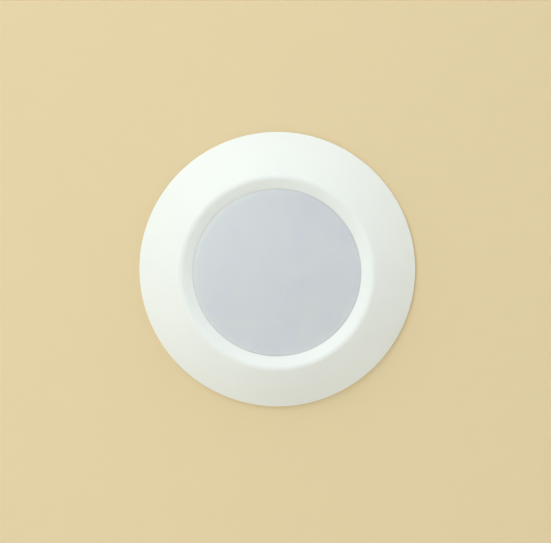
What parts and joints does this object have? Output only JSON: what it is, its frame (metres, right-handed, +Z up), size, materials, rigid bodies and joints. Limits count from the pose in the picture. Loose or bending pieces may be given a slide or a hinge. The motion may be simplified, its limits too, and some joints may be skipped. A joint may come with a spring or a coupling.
{
  "type": "disk light",
  "caption": "Round surface-mount disk light: wide sloping white trim round a recessed frosted lens, twist-locked to a plate with squeeze springs, with a driver case behind.",
  "frame": {"origin": "centre of the mounting plate's back face, on the light's axis, in the plane of the wall or ceiling", "axes": "-Y is the lit front, towards the viewer; +Y points back into the wall or box; +Z is up, along the line of the plate's screw slots; +X is the viewer's right"},
  "size_m": [0.19, 0.0788, 0.19],
  "materials": {
    "zinc_steel": "zinc plated, satin",
    "green_steel": "green plated",
    "spring_wire": "drawn spring wire",
    "bright_steel": "bright plated",
    "trim_white": "satin white moulding",
    "gasket_foam": "closed-cell foam",
    "lens_frosted": "frosted translucent",
    "seal_rubber": "soft silicone",
    "reflector_white": "glossy white",
    "board_white": "white solder mask",
    "phosphor": "clear over yellow phosphor",
    "heat_pad_grey": "soft filled pad",
    "tray_aluminium": "stamped, satin",
    "connector_ivory": "moulded",
    "lead_red": "insulated wire",
    "lead_black": "insulated wire",
    "case_white": "satin moulding",
    "board_green": "green solder mask",
    "winding_yellow": "taped winding and ferrite",
    "capacitor_sleeve": "shrunk sleeve",
    "guard_brown": "coated",
    "chip_black": "moulded",
    "terminal_green": "moulded",
    "grommet_black": "soft rubber",
    "switch_grey": "moulded",
    "knob_black": "moulded"
  },
  "bodies": {
    "mounting_plate": {"mounting_plate": "zinc_steel", "ground_screw": "green_steel", "right_spring_bracket": "zinc_steel", "left_spring_bracket": "zinc_steel", "bracket_rivets": "bright_steel", "spring_arbors": "bright_steel", "right_spring_coil": "spring_wire", "left_spring_coil": "spring_wire"},
    "fixture": {"trim_ring": "trim_white", "ceiling_gasket": "gasket_foam", "lens": "lens_frosted", "lens_seal": "seal_rubber", "reflector": "reflector_white", "led_board": "board_white", "led_chips": "phosphor", "board_screws": "bright_steel", "heat_pad": "heat_pad_grey", "lamp_tray": "tray_aluminium", "tray_seal": "seal_rubber", "trim_screws": "bright_steel", "locking_studs": "bright_steel", "lead_connector": "connector_ivory", "positive_lead": "lead_red", "negative_lead": "lead_black", "driver_case": "case_white", "case_screws": "bright_steel", "driver_board": "board_green", "driver_screws": "bright_steel", "transformer": "winding_yellow", "capacitors": "capacitor_sleeve", "surge_guards": "guard_brown", "control_chips": "chip_black", "terminal_block": "terminal_green", "driver_cover": "case_white", "cover_screws": "bright_steel", "lead_grommet": "grommet_black", "selector_switch": "switch_grey"},
    "right_spring_upper": {"right_spring_upper_arm": "spring_wire"},
    "right_spring_lower": {"right_spring_lower_arm": "spring_wire"},
    "left_spring_upper": {"left_spring_upper_arm": "spring_wire"},
    "left_spring_lower": {"left_spring_lower_arm": "spring_wire"},
    "selector_knob": {"selector_knob": "knob_black"}
  },
  "joints": [
    {"name": "twist_lock", "type": "hinge", "parent": "mounting_plate", "child": "fixture", "pos_m": [0, 0, 0], "axis": [0, -1, 0], "range_deg": [0, 20]},
    {"name": "right_spring_upper", "type": "hinge", "parent": "mounting_plate", "child": "right_spring_upper", "pos_m": [0.0576, 0.012, 0], "axis": [-1, 0, 0], "range_deg": [0, 32], "stiffness_Nm_per_rad": 4.8, "deforming": ["right_spring_coil"]},
    {"name": "right_spring_lower", "type": "hinge", "parent": "right_spring_upper", "child": "right_spring_lower", "pos_m": [0.0576, 0.012, 0], "axis": [-1, 0, 0], "range_deg": [-64, 0]},
    {"name": "left_spring_upper", "type": "hinge", "parent": "mounting_plate", "child": "left_spring_upper", "pos_m": [-0.0576, 0.012, 0], "axis": [-1, 0, 0], "range_deg": [0, 32], "stiffness_Nm_per_rad": 4.8, "deforming": ["left_spring_coil"]},
    {"name": "left_spring_lower", "type": "hinge", "parent": "left_spring_upper", "child": "left_spring_lower", "pos_m": [-0.0576, 0.012, 0], "axis": [-1, 0, 0], "range_deg": [-64, 0]},
    {"name": "selector_slide", "type": "slide", "parent": "fixture", "child": "selector_knob", "axis": [1, 0, 0], "range_m": [-0.004, 0.004]}
  ],
  "couplings": [
    {"joint": "right_spring_lower", "follows": "right_spring_upper", "ratio": -2},
    {"joint": "left_spring_lower", "follows": "left_spring_upper", "ratio": -2}
  ]
}
